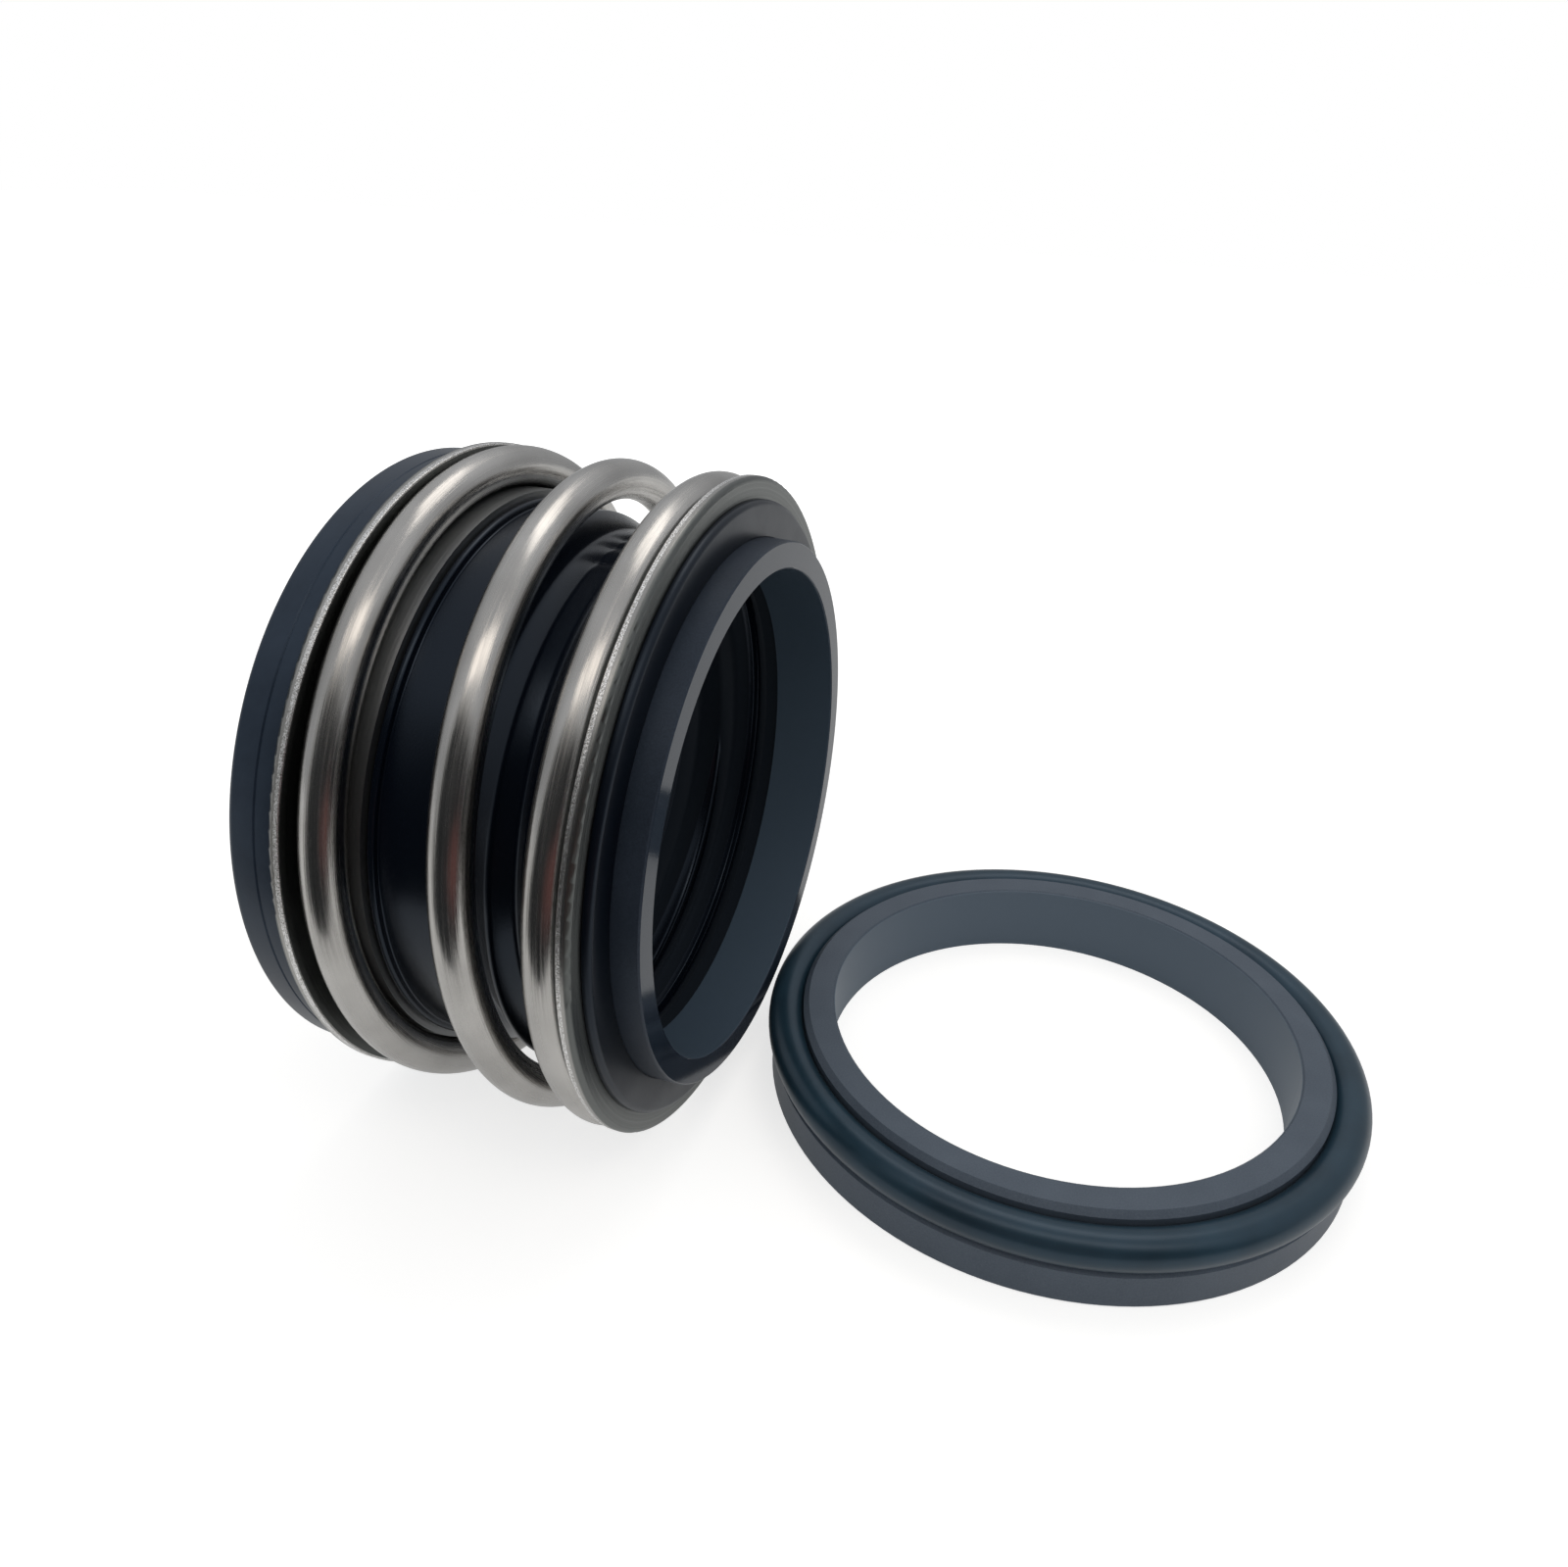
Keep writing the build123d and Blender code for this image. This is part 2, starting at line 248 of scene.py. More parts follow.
def pressed_stainless_sheet():
    """Stainless sheet blanked and pressed. One sheet is tinted two ways: a darker grey on the flange,
    painted shade, and a paler one on the sleeve, painted light where the spring shades it. The outer
    edge is torn next to the spring, where its grain and painted glints sparkle in a thin line."""
    material, tree = new_material("pressed_stainless_sheet")
    # Real tool rings are about 0.05 mm apart and the torn grains about 0.03 mm, drawn coarser to show
    tool_ring_width = 0.3
    torn_grain = 0.16
    relief_depth = 0.06
    pressed_roughness, marked_roughness = 0.28, 0.42
    sleeve_roughness, sheared_roughness = 0.4, 0.26
    place = place_in_mm(tree)
    x = add(tree, "SeparateXYZ", {"Vector": place}).outputs["X"]
    radius = distance_from_axis(tree, place, *shaft_axis)
    round_axis = add(tree, "CombineXYZ", {"X": x, "Y": radius, "Z": 0.0}).outputs["Vector"]
    rings = add(
        tree, "TexNoise",
        {"Vector": round_axis, "Scale": 1 / tool_ring_width, "Detail": 4.0, "Roughness": 0.7},
    )
    torn = add(
        tree, "TexNoise", {"Vector": place, "Scale": 1 / torn_grain, "Detail": 3.0, "Roughness": 0.7},
    )

    # Across the flange's outer edge, from the spring's side: torn, burnished, and rolled over the die
    edge_blend, roll_blend = 0.06, 0.2
    middle = (tail_width + face_flange_front) / 2
    torn_end = (face_flange_front - tail_width) / 2 - ring_stock + torn_width
    burnish_end = torn_end + burnish_width
    off_middle = add(tree, "Math", {0: x, 1: middle}, operation="SUBTRACT").outputs[0]
    outward = add(tree, "Math", {0: off_middle}, operation="ABSOLUTE").outputs[0]
    near_spring = add(
        tree, "MapRange", {"Value": outward, "From Min": torn_end + edge_blend, "From Max": torn_end},
    )
    before_roll = add(
        tree, "MapRange",
        {"Value": outward, "From Min": burnish_end + roll_blend, "From Max": burnish_end},
    )
    edge_start = flange_radius - sheared_depth
    at_edge = add(
        tree, "MapRange",
        {"Value": radius, "From Min": edge_start, "From Max": edge_start + edge_blend},
    )
    torn_zone = add(
        tree, "Math",
        {0: near_spring.outputs["Result"], 1: at_edge.outputs["Result"]},
        operation="MULTIPLY",
    ).outputs[0]
    sheared = add(
        tree, "Math",
        {0: before_roll.outputs["Result"], 1: at_edge.outputs["Result"]},
        operation="MULTIPLY",
    ).outputs[0]

    on_flange = add(
        tree, "MapRange",
        {"Value": radius, "From Min": sleeve_inner + ring_stock, "From Max": sleeve_inner + outer_bend},
    )
    # One sheet tinted two ways: darker grey on the flange as painted shade, paler grey on the sleeve as
    # painted light where the spring shades it
    sheet_painted_shade_and_light = add(
        tree, "Mix",
        {0: on_flange.outputs["Result"], 6: linear("#989a9b"), 7: linear("#6c6f6e")},
        data_type="RGBA",
    )
    # The torn band's colour runs up to white in spots: partly its torn grain, partly painted glints
    glints = add(tree, "MapRange", {"Value": torn.outputs["Fac"], "From Min": 0.4, "From Max": 0.6})
    torn_grain_and_painted_glints = add(
        tree, "Mix",
        {0: glints.outputs["Result"], 6: linear("#aaa8a4"), 7: linear("#ffffff")},
        data_type="RGBA",
    )
    edged = add(
        tree, "Mix", {0: sheared, 6: sheet_painted_shade_and_light.outputs[2], 7: linear("#a8a7a4")}, data_type="RGBA",
    )
    tint = add(
        tree, "Mix", {0: torn_zone, 6: edged.outputs[2], 7: torn_grain_and_painted_glints.outputs[2]}, data_type="RGBA",
    )
    flange_dullness = add(
        tree, "MapRange",
        {
            "Value": rings.outputs["Fac"],
            "From Min": 0.3,
            "From Max": 0.7,
            "To Min": pressed_roughness,
            "To Max": marked_roughness,
        },
    )
    unsheared_dullness = add(
        tree, "Mix",
        {0: on_flange.outputs["Result"], 2: sleeve_roughness, 3: flange_dullness.outputs["Result"]},
        data_type="FLOAT",
    )
    dullness = add(
        tree, "Mix",
        {0: sheared, 2: unsheared_dullness.outputs[0], 3: sheared_roughness},
        data_type="FLOAT",
    )
    height = add(
        tree, "Mix",
        {0: torn_zone, 2: rings.outputs["Fac"], 3: torn.outputs["Fac"]},
        data_type="FLOAT",
    )
    relief = add(
        tree, "Bump", {"Height": height.outputs[0], "Strength": 0.8, "Distance": relief_depth * MM},
    )
    metal = add(
        tree, "BsdfPrincipled",
        {
            "Base Color": tint.outputs[2],
            "Metallic": 1.0,
            "Roughness": dullness.outputs[0],
            "Normal": relief.outputs["Normal"],
        },
    )
    add(tree, "OutputMaterial", {"Surface": metal.outputs["BSDF"]})
    return material


def moulded_nitrile_rubber():
    """Nitrile rubber straight from the mould: blue-black, with a faint bloom on the tail. Past the tail
    and inside the bore it is near-black, partly the rubber without bloom and partly painted shade
    between the rings and the spring and in the bore. It is a little glossier between the pressed rings,
    and dull inside, where the core was."""
    material, tree = new_material("moulded_nitrile_rubber")
    # The mould's blasted grain is about 0.1 mm, drawn coarser to show
    grain_size, grain_depth = 0.25, 0.03
    bloom_size = 8.0
    inside_gap, end_face_edge = 0.1, 0.2
    inside_blend, end_blend, ring_blend = 0.1, 0.3, 0.5
    inside_radius = fold_root - inside_gap
    open_middle = (tail_sleeve_end + cup_start) / 2
    open_reach = (cup_start - tail_sleeve_end) / 2
    clean_roughness, bloomed_roughness = 0.3, 0.38
    open_roughness, inside_roughness = 0.24, 0.7
    place = place_in_mm(tree)
    x = add(tree, "SeparateXYZ", {"Vector": place}).outputs["X"]
    radius = distance_from_axis(tree, place, *shaft_axis)
    core_side = add(
        tree, "MapRange",
        {"Value": radius, "From Min": inside_radius, "From Max": inside_radius - inside_blend},
    )
    past_end = add(
        tree, "MapRange",
        {"Value": x, "From Min": end_face_edge, "From Max": end_face_edge + end_blend},
    )
    inside = add(
        tree, "Math",
        {0: core_side.outputs["Result"], 1: past_end.outputs["Result"]},
        operation="MULTIPLY",
    ).outputs[0]
    off_middle = add(tree, "Math", {0: x, 1: open_middle}, operation="SUBTRACT").outputs[0]
    off_open = add(tree, "Math", {0: off_middle}, operation="ABSOLUTE").outputs[0]
    between_rings = add(
        tree, "MapRange",
        {"Value": off_open, "From Min": open_reach + ring_blend, "From Max": open_reach},
    ).outputs["Result"]
    # Past the tail the rubber is tinted near-black: where the tail's bloom stops, and painted shade
    # between the rings and the spring
    painted_shade_past_tail = add(
        tree, "MapRange",
        {"Value": x, "From Min": tail_sleeve_end - ring_blend, "From Max": tail_sleeve_end},
    ).outputs["Result"]

    grain = add(tree, "TexNoise", {"Vector": place, "Scale": 1 / grain_size, "Detail": 4.0})
    bloom = add(
        tree, "TexNoise", {"Vector": place, "Scale": 1 / bloom_size, "Detail": 4.0, "Roughness": 0.65},
    )
    blotches = add(tree, "MapRange", {"Value": bloom.outputs["Fac"], "From Min": 0.3, "From Max": 0.75})
    bloomed = add(
        tree, "Mix",
        {0: blotches.outputs["Result"], 6: linear("#1b2532"), 7: linear("#2a3543")},
        data_type="RGBA",
    )
    bloom_and_painted_shade = add(tree, "Mix", {0: painted_shade_past_tail, 6: bloomed.outputs[2], 7: linear("#050a14")}, data_type="RGBA")
    # Inside the bore the rubber is tinted near-black too: painted shade in the bore
    tint = add(tree, "Mix", {0: inside, 6: bloom_and_painted_shade.outputs[2], 7: linear("#040910")}, data_type="RGBA")
    bloom_dullness = add(
        tree, "MapRange",
        {
            "Value": bloom.outputs["Fac"],
            "From Min": 0.3,
            "From Max": 0.7,
            "To Min": clean_roughness,
            "To Max": bloomed_roughness,
        },
    )
    outer_dullness = add(
        tree, "Mix",
        {0: between_rings, 2: bloom_dullness.outputs["Result"], 3: open_roughness},
        data_type="FLOAT",
    )
    dullness = add(
        tree, "Mix", {0: inside, 2: outer_dullness.outputs[0], 3: inside_roughness}, data_type="FLOAT",
    )
    relief = add(
        tree, "Bump",
        {"Height": grain.outputs["Fac"], "Strength": 0.2, "Distance": grain_depth * MM},
    )
    rubber = add(
        tree, "BsdfPrincipled",
        {
            "Base Color": tint.outputs[2],
            "Roughness": dullness.outputs[0],
            "IOR": 1.47,
            "Specular Tint": linear("#c8dcf5"),
            "Normal": relief.outputs["Normal"],
        },
    )
    add(tree, "OutputMaterial", {"Surface": rubber.outputs["BSDF"]})
    return material


def moulded_o_ring_cord():
    """Nitrile O-ring: smoother, glossier and a little greener than the bellows."""
    material, tree = new_material("moulded_o_ring_cord")
    # The mould's grain is about 0.1 mm, drawn coarser to show
    grain_size, grain_depth = 0.3, 0.03
    bloom_size = 10.0
    place = place_in_mm(tree)
    grain = add(tree, "TexNoise", {"Vector": place, "Scale": 1 / grain_size, "Detail": 3.0})
    bloom = add(tree, "TexNoise", {"Vector": place, "Scale": 1 / bloom_size, "Detail": 3.0})
    blotches = add(tree, "MapRange", {"Value": bloom.outputs["Fac"], "From Min": 0.3, "From Max": 0.75})
    tint = add(
        tree, "Mix",
        {0: blotches.outputs["Result"], 6: linear("#172b36"), 7: linear("#243d4b")},
        data_type="RGBA",
    )
    relief = add(
        tree, "Bump",
        {"Height": grain.outputs["Fac"], "Strength": 0.12, "Distance": grain_depth * MM},
    )
    rubber = add(
        tree, "BsdfPrincipled",
        {
            "Base Color": tint.outputs[2],
            "Roughness": 0.34,
            "IOR": 1.6,
            "Sheen Weight": 0.09,
            "Sheen Roughness": 0.3,
            "Sheen Tint": linear("#a9bdd0"),
            "Specular Tint": linear("#cfe0f5"),
            "Normal": relief.outputs["Normal"],
        },
    )
    add(tree, "OutputMaterial", {"Surface": rubber.outputs["BSDF"]})
    return material


def sintered_silicon_carbide(name, axis, bore, lapped_along, lapped_at, dark, light, bore_tone, ior):
    """Sintered silicon carbide: dark blue-grey with a fine paler grain, satin where it was ground,
    paler still in its ground bore, and with a low mirror shine on its lapped face. A sintered body
    shines far less than the pure crystal, so its IOR is set low."""
    material, tree = new_material(name)
    # Real grains are about 0.01 mm, drawn coarser to show
    grain_size, grain_depth = 0.2, 0.02
    cloud_size, cloud_share = 6.0, 0.35
    surface_tolerance = 0.05
    ground_roughness, lapped_roughness = 0.45, 0.08
    place = place_in_mm(tree)
    radius = distance_from_axis(tree, place, *axis)
    grain = add(
        tree, "TexNoise", {"Vector": place, "Scale": 1 / grain_size, "Detail": 3.0, "Roughness": 0.7},
    )
    cloud = add(tree, "TexNoise", {"Vector": place, "Scale": 1 / cloud_size, "Detail": 3.0})
    speckle = add(
        tree, "Mix",
        {0: cloud_share, 2: grain.outputs["Fac"], 3: cloud.outputs["Fac"]},
        data_type="FLOAT",
    )
    speckled = add(tree, "MapRange", {"Value": speckle.outputs[0], "From Min": 0.3, "From Max": 0.7})
    body = add(
        tree, "Mix",
        {0: speckled.outputs["Result"], 6: linear(dark), 7: linear(light)},
        data_type="RGBA",
    )
    bore_limit = bore + surface_tolerance
    in_bore = add(tree, "Math", {0: radius, 1: bore_limit}, operation="LESS_THAN").outputs[0]
    tint = add(tree, "Mix", {0: in_bore, 6: body.outputs[2], 7: linear(bore_tone)}, data_type="RGBA")
    along = add(tree, "SeparateXYZ", {"Vector": place}).outputs[lapped_along]
    lapped = add(
        tree, "Math", {0: along, 1: lapped_at, 2: surface_tolerance}, operation="COMPARE",
    ).outputs[0]
    dullness = add(
        tree, "Mix", {0: lapped, 2: ground_roughness, 3: lapped_roughness}, data_type="FLOAT",
    )
    relief = add(
        tree, "Bump",
        {"Height": grain.outputs["Fac"], "Strength": 0.12, "Distance": grain_depth * MM},
    )
    carbide = add(
        tree, "BsdfPrincipled",
        {
            "Base Color": tint.outputs[2],
            "Roughness": dullness.outputs[0],
            "IOR": ior,
            "Specular Tint": linear("#d3e2f5"),
            "Normal": relief.outputs["Normal"],
        },
    )
    add(tree, "OutputMaterial", {"Surface": carbide.outputs["BSDF"]})
    return material


def rounded(corners, step_degrees=12.0):
    """Points of a closed outline from (x, radius, rounding) corners, with an arc at each rounding."""
    points = []
    count = len(corners)
    for i, (x, r, rounding) in enumerate(corners):
        here = Vector((x, r))
        before = (Vector(corners[i - 1][:2]) - here).normalized()
        after = (Vector(corners[(i + 1) % count][:2]) - here).normalized()
        opening = before.angle(after)
        if rounding == 0:
            points.append(here)
            continue
        setback = rounding / tan(opening / 2)
        middle = here + (before + after).normalized() * (rounding / sin(opening / 2))
        start = here + before * setback - middle
        turn = pi - opening
        sign = 1 if start.cross(here + after * setback - middle) > 0 else -1
        steps = max(2, ceil(turn / radians(step_degrees)))
        for k in range(steps + 1):
            a = sign * turn * k / steps
            across = Vector((start.x * cos(a) - start.y * sin(a), start.x * sin(a) + start.y * cos(a)))
            points.append(middle + across)
    return points


def mesh_object(name, vertices, faces, material, sharp_degrees=35.0):
    """A mesh object from points in millimetres, smooth but for edges sharper than the given angle."""
    mesh = bpy.data.meshes.new(name)
    mesh.from_pydata([Vector(v) * MM for v in vertices], [], faces)
    mesh.validate()
    mesh.shade_smooth()
    mesh.set_sharp_from_angle(angle=radians(sharp_degrees))
    mesh.materials.append(material)
    made = bpy.data.objects.new(name, mesh)
    bpy.context.scene.collection.objects.link(made)
    return made


def fold_offset(x, angle):
    """How far the fold stands out of round, at a place along the shaft and an angle round it."""
    share = (x - (cup_start - fold_crest_back)) / fold_reach
    if abs(share) >= 1:
        return 0.0
    height = sin(angle)
    offset = -(fold_low_at_top if height > 0 else fold_low_at_bottom) * height
    for crease in crease_angles:
        off_crease = abs(angle - radians(crease)) / radians(crease_reach)
        offset -= crease_depth * max(0.0, 1 - off_crease) ** 2
    return offset * (1 - share**2) ** 2


def turned(name, outline, material, segments=288):
    """A closed outline of (x, radius) points turned round the shaft axis, with the fold out of round."""
    count = len(outline)
    vertices = []
    for i in range(segments):
        a = 2 * pi * i / segments
        for p in outline:
            r = p.y + fold_offset(p.x, a)
            vertices.append((p.x, r * cos(a), r * sin(a)))
    faces = []
    for i in range(segments):
        here, there = i * count, (i + 1) % segments * count
        faces += [
            (here + j, here + (j + 1) % count, there + (j + 1) % count, there + j) for j in range(count)
        ]
    return mesh_object(name, vertices, faces, material)


def coil_x(angle):
    """Place of the wire's centre along the shaft at an angle, eased through the stations."""
    knots = [(tail_rise_angle, 0.0), *coil_stations, (face_rest_angle, 1.0)]
    if angle <= tail_rise_angle:
        return tail_coil_x
    if angle >= face_rest_angle:
        return face_coil_x
    slopes = [0.0]
    for before, after in zip(knots[:-2], knots[2:]):
        slopes.append((after[1] - before[1]) / (after[0] - before[0]))
    slopes.append(0.0)
    index = min(max(i for i, knot in enumerate(knots) if knot[0] <= angle), len(knots) - 2)
    span = knots[index + 1][0] - knots[index][0]
    t = (angle - knots[index][0]) / span
    share = (
        (1 + 2 * t) * (1 - t) ** 2 * knots[index][1]
        + t * (1 - t) ** 2 * span * slopes[index]
        + t * t * (3 - 2 * t) * knots[index + 1][1]
        + t * t * (t - 1) * span * slopes[index + 1]
    )
    return tail_coil_x + share * (face_coil_x - tail_coil_x)


def make_coil_spring(material):
    """The wire swept round its coil, with the place on the straight wire kept for the material."""
    step_degrees = 1.5
    sides = 48
    cropped_edge = 0.2
    count = round((face_tip_angle - tail_tip_angle) / step_degrees) + 1
    angles = [radians(tail_tip_angle + i * step_degrees) for i in range(count)]
    centres = [
        Vector((coil_x(tail_tip_angle + i * step_degrees), coil_radius * cos(a), coil_radius * sin(a)))
        for i, a in enumerate(angles)
    ]
    vertices, straight = [], []
    travelled = 0.0
    for i, (centre, a) in enumerate(zip(centres, angles)):
        before = centres[max(i - 1, 0)]
        after = centres[min(i + 1, count - 1)]
        travelled += (centre - before).length
        outward = Vector((0, cos(a), sin(a)))
        sideways = (after - before).normalized().cross(outward).normalized()
        at_tip = i in (0, count - 1)
        rim = wire_radius - cropped_edge if at_tip else wire_radius
        for j in range(sides):
            b = 2 * pi * j / sides
            vertices.append(centre + rim * (cos(b) * outward + sin(b) * sideways))
            straight.append((travelled, wire_radius * cos(b), wire_radius * sin(b)))
    faces = []
    for i in range(count - 1):
        here, there = i * sides, (i + 1) * sides
        faces += [
            (here + j, here + (j + 1) % sides, there + (j + 1) % sides, there + j) for j in range(sides)
        ]
    faces.append(tuple(range(sides)))
    faces.append(tuple(reversed(range((count - 1) * sides, count * sides))))
    spring = mesh_object("spring_coil", vertices, faces, material)
    place = spring.data.attributes.new("straight_wire", "FLOAT_VECTOR", "POINT")
    place.data.foreach_set("vector", [value for point in straight for value in point])
    return spring


def bellows_outline():
    """Half section of the bellows as (x, radius, rounding): tail, bead, barrel, rolling fold, cup and
    lip along the outside, and back along the inside."""
    outer_fold = [(cup_start - back, radius) for back, radius in fold_corners]
    inner_fold = [(x, radius - bellows_wall) for x, radius in reversed(outer_fold)]
    return rounded([
        (0, rubber_bore, bead_round),
        (0, tail_radius, tail_corner),
        (mould_seam - mould_seam_width / 2, tail_radius, 0),
        (mould_seam, tail_radius - mould_seam_depth, 0),
        (mould_seam + mould_seam_width / 2, tail_radius, 0),
        (tail_width, tail_radius, edge_round),
        (tail_width, sleeve_inner, outer_bend),
        (bead_start, sleeve_inner, 0),
        (bead_start, bead_radius, bead_round),
        (bead_end, bead_radius, bead_round),
        (bead_end, barrel_radius, bead_root_round),
        *[(x, radius, fold_bend) for x, radius in outer_fold],
        (face_flange_front, sleeve_inner, outer_bend),
        (face_flange_front, lip_radius, sharp_round),
        (lip_front, lip_radius, lip_round),
        (lip_front, nose_radius, sharp_round),
        (nose_step_x, nose_radius, 0),
        (nose_step_x, face_body_radius, 0),
        (face_back, face_body_radius, 0),
        (face_back, cup_bore, 0),
        (face_back - cup_floor, cup_bore, edge_round),
        (cup_start, sleeve_inner - bellows_wall, edge_round),
        (*inner_fold[0], edge_round),
        *[(x, radius, fold_bend) for x, radius in inner_fold[1:]],
        (bead_end, barrel_radius - bellows_wall, edge_round),
        (tail_sleeve_end, rubber_bore, edge_round),
    ])


def dress(node, material):
    """Gives a CAD node its material."""
    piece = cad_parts[node]
    piece.data.materials.clear()
    piece.data.materials.append(material)


def blend_along(piece):
    """Bakes a piece's place into its mesh."""
    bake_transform(piece)


# Spring and bellows, which are squeezed between the two ends of the head
spring = make_coil_spring(drawn_stainless_wire())
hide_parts("coil_spring")
blend_along(spring)

bellows = turned("rubber_bellows", bellows_outline(), moulded_nitrile_rubber())
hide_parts("bellows")
blend_along(bellows)

# Rings of the head, and the seat with its cord
sheet_metal = pressed_stainless_sheet()
dress("tail_l_ring", sheet_metal)
dress("face_l_ring", sheet_metal)
# The nose is tinted darker than the seat, though both are the same carbide: painted shade on the nose
nose_carbide = sintered_silicon_carbide(
    "lapped_silicon_carbide_nose", shaft_axis, face_bore,
    lapped_along="X", lapped_at=face_high.x,
    dark="#1e252f", light="#313945", bore_tone="#42505d", ior=1.45,
)
dress("seal_face", nose_carbide)
# The seat is tinted paler than the nose, though both are the same carbide: painted light on the seat
seat_carbide = sintered_silicon_carbide(
    "lapped_silicon_carbide_seat", seat_axis, seat_bore,
    lapped_along="Z", lapped_at=floor_z,
    dark="#3e4752", light="#545e69", bore_tone="#5d6b78", ior=1.7,
)
dress("seat_ring", seat_carbide)
dress("seat_o_ring", moulded_o_ring_cord())


def seen_rays(tree):
    """1 for the rays that show the background: to the camera, and in metal or glass."""
    path = add(tree, "LightPath").outputs
    shiny = add(
        tree, "Math", {0: path["Is Camera Ray"], 1: path["Is Glossy Ray"]}, operation="MAXIMUM",
    ).outputs[0]
    return add(
        tree, "Math", {0: shiny, 1: path["Is Transmission Ray"]}, operation="MAXIMUM",
    ).outputs[0]


def stage_object(name, vertices, faces, material):
    """A piece of the studio, which isn't part of the seal, from points in metres."""
    mesh = bpy.data.meshes.new(name)
    mesh.from_pydata(vertices, [], faces)
    mesh.materials.append(material)
    made = bpy.data.objects.new(name, mesh)
    bpy.context.scene.collection.objects.link(made)
    return made


# Height of the studio's floor, and the place on it between head and seat
floor_height = floor_z * MM
stage_middle = Vector((0.06, 0.01, floor_height))


def white_paper():
    """Pale matt paper. A glow makes it white in the picture, fully so away from the seal, and leaves
    it the seal's shadow."""
    material, tree = new_material("white_paper")
    shadow_reach, white_from = 0.1, 0.4
    plain_glow, near_glow, far_glow = 0.35, 0.36, 0.7
    place = add(tree, "TexCoord").outputs["Object"]
    away = add(tree, "VectorMath", {0: place, 1: stage_middle}, operation="DISTANCE").outputs["Value"]
    whiter = add(
        tree, "MapRange",
        {
            "Value": away,
            "From Min": shadow_reach,
            "From Max": white_from,
            "To Min": near_glow,
            "To Max": far_glow,
        },
    )
    to_camera = add(tree, "LightPath").outputs["Is Camera Ray"]
    strength = add(
        tree, "Math",
        {0: whiter.outputs["Result"], 1: to_camera, 2: plain_glow},
        operation="MULTIPLY_ADD",
    )
    paper = add(tree, "BsdfDiffuse", {"Color": linear("#c8c8c6")})
    glow = add(tree, "Emission", {"Color": linear("#ffffff"), "Strength": strength.outputs[0]})
    glowing = add(tree, "AddShader", {0: paper.outputs["BSDF"], 1: glow.outputs["Emission"]})
    surface = add(
        tree, "MixShader",
        {0: seen_rays(tree), 1: paper.outputs["BSDF"], 2: glowing.outputs["Shader"]},
    )
    add(tree, "OutputMaterial", {"Surface": surface.outputs["Shader"]})
    return material


floor_reach = 2.0
floor_corners = ((-1, -1), (1, -1), (1, 1), (-1, 1))
stage_object(
    "studio_floor",
    [(floor_reach * x, floor_reach * y, floor_height) for x, y in floor_corners],
    [(0, 1, 2, 3)],
    white_paper(),
)


def studio_world():
    """White backdrop, and the even grey light that it throws on the seal."""
    world = bpy.data.worlds.new("studio_world")
    bpy.context.scene.world = world
    world.use_nodes = True
    tree = world.node_tree
    tree.nodes.clear()
    light_strength, backdrop_strength = 0.5, 1.0
    light = add(tree, "Background", {"Color": linear("#f4f8ff"), "Strength": light_strength})
    backdrop = add(tree, "Background", {"Color": linear("#ffffff"), "Strength": backdrop_strength})
    both = add(
        tree, "MixShader",
        {0: seen_rays(tree), 1: light.outputs["Background"], 2: backdrop.outputs["Background"]},
    )
    add(tree, "OutputWorld", {"Surface": both.outputs["Shader"]})


studio_world()


def dim_walls(reach):
    """Grey walls that brighten towards the ceiling, as the wire's reflections show them."""
    material, tree = new_material("dim_walls")
    wall_top, ceiling_edge = radians(15), radians(40)
    wall_glow, ceiling_glow = 0.42, 0.62
    place = add(tree, "TexCoord").outputs["Object"]
    height = add(tree, "SeparateXYZ", {"Vector": place}).outputs["Z"]
    glow = add(
        tree, "MapRange",
        {
            "Value": height,
            "From Min": reach * sin(wall_top),
            "From Max": reach * sin(ceiling_edge),
            "To Min": wall_glow,
            "To Max": ceiling_glow,
        },
    )
    paint = add(tree, "Emission", {"Color": linear("#f6f8fb"), "Strength": glow.outputs["Result"]})
    add(tree, "OutputMaterial", {"Surface": paint.outputs["Emission"]})
    return material


def studio_room():
    """The dim room round the table: a dome that shows in what shines, but not to the camera."""
    reach = 1.8
    rings, sides = 12, 32
    vertices = []
    for k in range(rings):
        level = radians(90) * k / rings
        for i in range(sides):
            a = 2 * pi * i / sides
            vertices.append((
                reach * cos(level) * cos(a),
                reach * cos(level) * sin(a),
                reach * sin(level) + floor_height,
            ))
    top = len(vertices)
    vertices.append((0, 0, reach + floor_height))
    faces = []
    for k in range(rings - 1):
        low, high = k * sides, (k + 1) * sides
        faces += [
            (low + i, low + (i + 1) % sides, high + (i + 1) % sides, high + i) for i in range(sides)
        ]
    last = (rings - 1) * sides
    faces += [(last + i, last + (i + 1) % sides, top) for i in range(sides)]
    room = stage_object("studio_room", vertices, faces, dim_walls(reach))
    room.visible_camera = False
    room.visible_shadow = False


studio_room()

# Dark card behind the camera: from left to right, and leaning back from its foot to its top
card_left, card_right = -0.065, 1.2
card_foot_y, card_top_y = -0.09, -0.165
card_top = 0.175


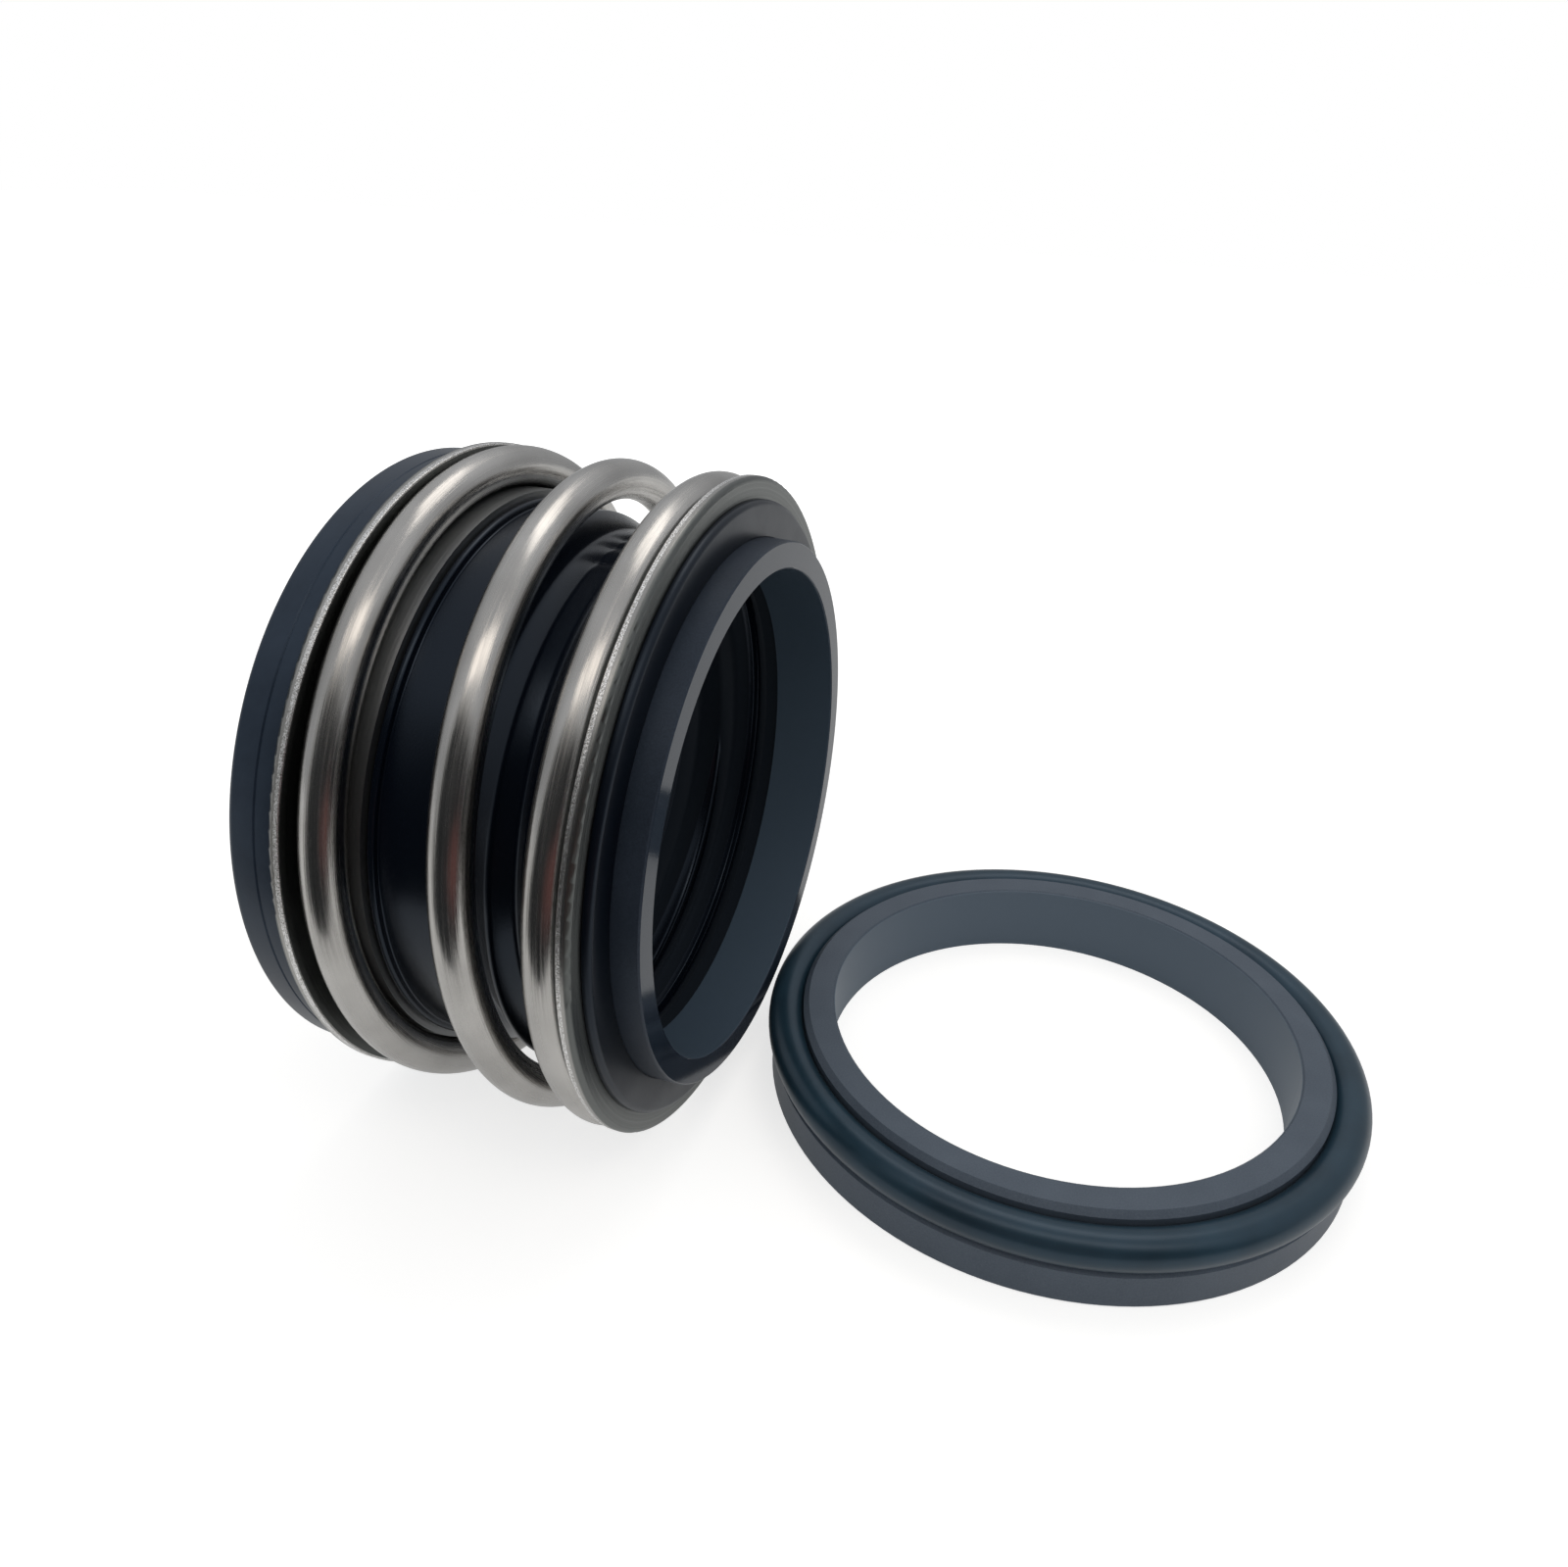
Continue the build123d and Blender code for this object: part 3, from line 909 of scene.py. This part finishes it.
def dark_felt():
    """Dark felt that fades out at the card's top and left end, with a warm brown patch low down that
    the wire and the pressed rings pick up."""
    material, tree = new_material("dark_felt")
    fade_from_z, fade_from_x = 0.11, -0.03
    patch_x, patch_core, patch_edge = 0.112, 0.03, 0.08
    patch_flatness = 2.5
    place = add(tree, "TexCoord").outputs["Object"]
    from_patch = add(
        tree, "Mapping",
        {"Vector": place, "Location": (-patch_x, 0, 0), "Scale": (1.0, 0.0, patch_flatness)},
    ).outputs["Vector"]
    away = add(tree, "VectorMath", {0: from_patch}, operation="LENGTH").outputs["Value"]
    warm = add(tree, "MapRange", {"Value": away, "From Min": patch_edge, "From Max": patch_core})
    felt = add(
        tree, "Mix",
        {0: warm.outputs["Result"], 6: linear("#2e2f30"), 7: linear("#6e4c49")},
        data_type="RGBA",
    )
    axes = add(tree, "SeparateXYZ", {"Vector": place}).outputs
    up = add(tree, "MapRange", {"Value": axes["Z"], "From Min": fade_from_z, "From Max": card_top})
    aside = add(
        tree, "MapRange", {"Value": axes["X"], "From Min": fade_from_x, "From Max": card_left},
    )
    fade = add(
        tree, "Math", {0: up.outputs["Result"], 1: aside.outputs["Result"]}, operation="MAXIMUM",
    )
    faded = add(
        tree, "Mix", {0: fade.outputs[0], 6: felt.outputs[2], 7: linear("#bcbcba")}, data_type="RGBA",
    )
    shade = add(tree, "Emission", {"Color": faded.outputs[2], "Strength": 1.0})
    add(tree, "OutputMaterial", {"Surface": shade.outputs["Emission"]})
    return material


dark_card = stage_object(
    "dark_card",
    [
        (card_left, card_foot_y, floor_height),
        (card_right, card_foot_y, floor_height),
        (card_right, card_top_y, card_top),
        (card_left, card_top_y, card_top),
    ],
    [(0, 1, 2, 3)],
    dark_felt(),
)
dark_card.visible_camera = False
dark_card.visible_diffuse = False
dark_card.visible_shadow = False


def softbox(name, azimuth, height, size, tilt, brightness, colour):
    """A rectangular lamp, seen from the head at an azimuth and a height in degrees and turned to it,
    with its right end lowered by the tilt."""
    distance = 0.6
    head_middle = Vector((0.02, 0, 0))
    power_per_area = 4
    light = bpy.data.lights.new(name, "AREA")
    light.shape = "RECTANGLE"
    light.size, light.size_y = size
    light.energy = brightness * power_per_area * size[0] * size[1]
    light.color = linear(colour)[:3]
    made = bpy.data.objects.new(name, light)
    a, h = radians(azimuth), radians(height)
    outward = Vector((cos(h) * cos(a), cos(h) * sin(a), sin(h)))
    made.location = head_middle + distance * outward
    made.rotation_mode = "QUATERNION"
    made.rotation_quaternion = outward.to_track_quat("Z", "Y") @ Quaternion((0, 0, 1), -radians(tilt))
    bpy.context.scene.collection.objects.link(made)


# Two soft lamps on the ceiling, in front of the seal and behind it
softbox(
    "front_ceiling_light", azimuth=-65, height=60,
    size=(0.67, 0.15), tilt=9, brightness=1.2, colour="#fff4e8",
)
softbox(
    "back_ceiling_light", azimuth=78, height=65,
    size=(0.38, 0.25), tilt=0, brightness=1.2, colour="#fff8f0",
)

# Camera that stands as the photograph's did, near the seal and above it
camera_place = Vector((85.178, -118.518, 69.367)) * MM
camera_azimuth = radians(-72.058)
camera_height = radians(27.339)
camera_roll = radians(3.146)
photo_width = 1600.0
focal_pixels = 1219.58

backward = Vector((
    cos(camera_height) * cos(camera_azimuth),
    cos(camera_height) * sin(camera_azimuth),
    sin(camera_height),
))
level_right = Vector((-sin(camera_azimuth), cos(camera_azimuth), 0))
level_up = backward.cross(level_right)
right = cos(camera_roll) * level_right + sin(camera_roll) * level_up
up = cos(camera_roll) * level_up - sin(camera_roll) * level_right
photo_camera = bpy.data.cameras.new("photo_camera")
photo_camera.sensor_width = 36.0
photo_camera.lens = focal_pixels / photo_width * photo_camera.sensor_width
photo_camera.clip_start = 0.005
camera = bpy.data.objects.new("photo_camera", photo_camera)
camera.rotation_mode = "QUATERNION"
camera.rotation_quaternion = Matrix((right, up, backward)).transposed().to_quaternion()
camera.location = camera_place
bpy.context.scene.collection.objects.link(camera)
bpy.context.scene.camera = camera
bpy.context.scene.view_settings.view_transform = "Standard"
